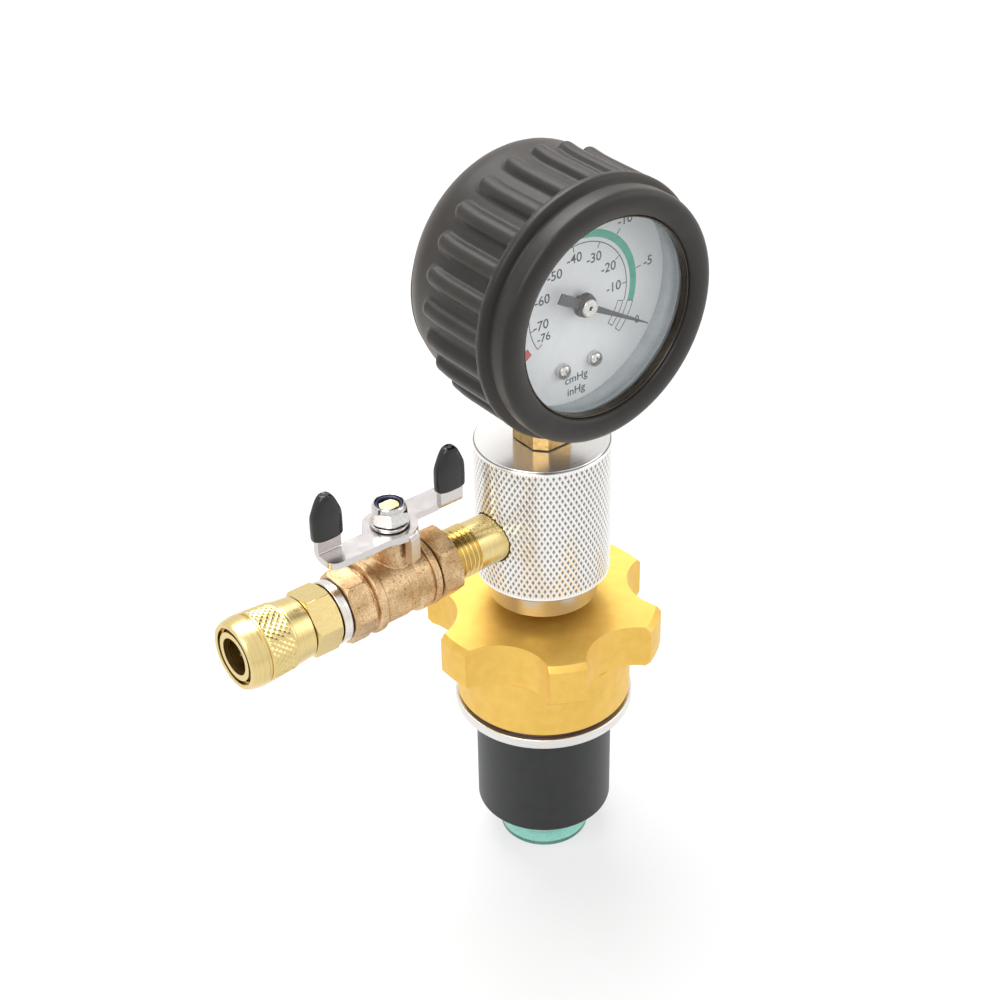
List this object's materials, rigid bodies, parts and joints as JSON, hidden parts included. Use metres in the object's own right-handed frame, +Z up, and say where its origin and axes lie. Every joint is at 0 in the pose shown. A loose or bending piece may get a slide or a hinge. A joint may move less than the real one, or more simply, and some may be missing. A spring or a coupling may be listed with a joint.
{
  "type": "coolant vacuum filler",
  "caption": "Vacuum tool for filling a cooling system: expanding rubber cone, star knob, knurled body, ball valve with butterfly handle and quick coupler, and a dial gauge.",
  "frame": {"origin": "on the tube axis at the underside of the flange that presses on the rubber cone, where the tool sits on the filler neck", "axes": "+Z up the tube towards the gauge; -Y out of the gauge's face, towards its reader; -X along the valve, from the body to the coupler's mouth"},
  "size_m": [0.127, 0.0594, 0.2048],
  "materials": {
    "rubber_black": "black moulded rubber, matt",
    "aluminium": "bare turned aluminium",
    "gold_anodised": "aluminium anodised gold, satin",
    "nickel": "bright nickel plate",
    "steel": "bright zinc-plated steel",
    "brass": "plain machined brass",
    "forged_brass": "brown forged brass, blasted",
    "washer_plastic": "dark brown plastic",
    "ring_teal": "clear teal plastic",
    "ptfe": "white plastic seal",
    "insert_blue": "dark blue nylon",
    "dial_white": "pale printed dial",
    "pointer_dark": "dark grey paint",
    "lens": "clear lens"
  },
  "bodies": {
    "filler": {"rubber_sleeve": "rubber_black", "lower_washer": "aluminium", "end_nut": "aluminium", "end_ring": "ring_teal", "spindle_tube": "brass", "knurled_body": "aluminium", "port_nipple": "brass", "valve_end_piece": "forged_brass", "valve_body": "forged_brass", "ball_seat_inner": "ptfe", "ball_seat_outer": "ptfe", "stem_packing": "ptfe", "adapter_gasket": "rubber_black", "adapter_nipple": "nickel", "coupler_body": "brass", "coupler_seal": "rubber_black", "coupler_ball_1": "nickel", "coupler_ball_2": "nickel", "coupler_ball_3": "nickel", "coupler_ball_4": "nickel", "coupler_spring": "steel", "gauge_socket": "brass", "gauge_case": "steel", "gauge_boot": "rubber_black", "gauge_bezel": "nickel", "gauge_lens": "lens", "inner_ring": "dial_white", "dial_plate": "dial_white", "dial_screw_left": "nickel", "dial_screw_right": "nickel", "bourdon_tube": "brass", "movement_back_plate": "brass", "movement_front_plate": "brass", "movement_pillar_left": "brass", "movement_pillar_right": "brass", "link_bar": "brass"},
    "flange": {"compression_flange": "aluminium", "thrust_washer": "washer_plastic"},
    "knob": {"star_knob": "gold_anodised"},
    "handle": {"butterfly_handle": "steel", "handle_grip_left": "rubber_black", "handle_grip_right": "rubber_black", "handle_washer": "steel", "handle_nut": "steel", "nut_insert": "insert_blue", "valve_stem": "brass", "valve_ball": "nickel"},
    "pointer_set": {"pointer_arbor": "brass", "pointer": "pointer_dark", "pointer_hub": "nickel"},
    "sector": {"sector_gear": "brass"},
    "sleeve": {"coupler_sleeve": "brass"}
  },
  "joints": [
    {"name": "flange_slide", "type": "slide", "parent": "filler", "child": "flange", "axis": [0, 0, -1], "range_m": [0, 0.0045], "deforming": ["rubber_sleeve"]},
    {"name": "knob_turn", "type": "hinge", "parent": "flange", "child": "knob", "pos_m": [0, 0, 0], "axis": [0, 0, -1], "range_deg": [0, 1080]},
    {"name": "handle_turn", "type": "hinge", "parent": "filler", "child": "handle", "pos_m": [-0.0474, 0, 0.05909], "axis": [0, 0, -1], "range_deg": [0, 90]},
    {"name": "pointer_turn", "type": "hinge", "parent": "filler", "child": "pointer_set", "pos_m": [0, 0, 0.1262], "axis": [0, -1, 0], "range_deg": [0, 243], "stiffness_Nm_per_rad": 0.0005},
    {"name": "sector_turn", "type": "hinge", "parent": "filler", "child": "sector", "pos_m": [0, 0, 0.1172], "axis": [0, -1, 0], "range_deg": [-53, 0]},
    {"name": "sleeve_slide", "type": "slide", "parent": "filler", "child": "sleeve", "axis": [-1, 0, 0], "range_m": [0, 0.0025], "stiffness_N_per_m": 600}
  ],
  "couplings": [
    {"joint": "flange_slide", "follows": "knob_turn", "m_per_rad": 0.0002387},
    {"joint": "sector_turn", "follows": "pointer_turn", "ratio": -0.21622}
  ]
}
